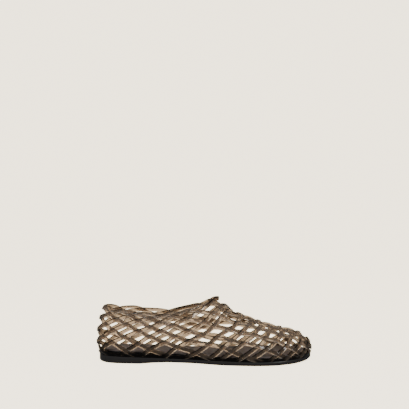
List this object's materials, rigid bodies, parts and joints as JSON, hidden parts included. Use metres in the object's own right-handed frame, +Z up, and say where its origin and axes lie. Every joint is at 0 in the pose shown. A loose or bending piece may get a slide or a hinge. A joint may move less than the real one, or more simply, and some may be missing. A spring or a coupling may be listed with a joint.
{
  "type": "ballet flat",
  "caption": "Right slip-on ballet flat: a moulded see-through net upper with a scalloped collar and an open throat loop, on a thin black sole with a low heel.",
  "frame": {"origin": "middle of the footprint on the floor, under the middle of the shoe's length and width", "axes": "+X from the heel to the toe, +Y to the inner side of the foot, +Z up"},
  "size_m": [0.2498, 0.084, 0.0729],
  "materials": {
    "upper": "smoke-brown translucent soft plastic, glossy",
    "insole": "dark taupe, satin",
    "footbed": "black, satin",
    "outsole": "black moulded rubber, slightly glossy"
  },
  "bodies": {
    "root": {"upper": "upper", "insole": "insole", "footbed": "footbed", "outsole": "outsole"}
  },
  "joints": []
}
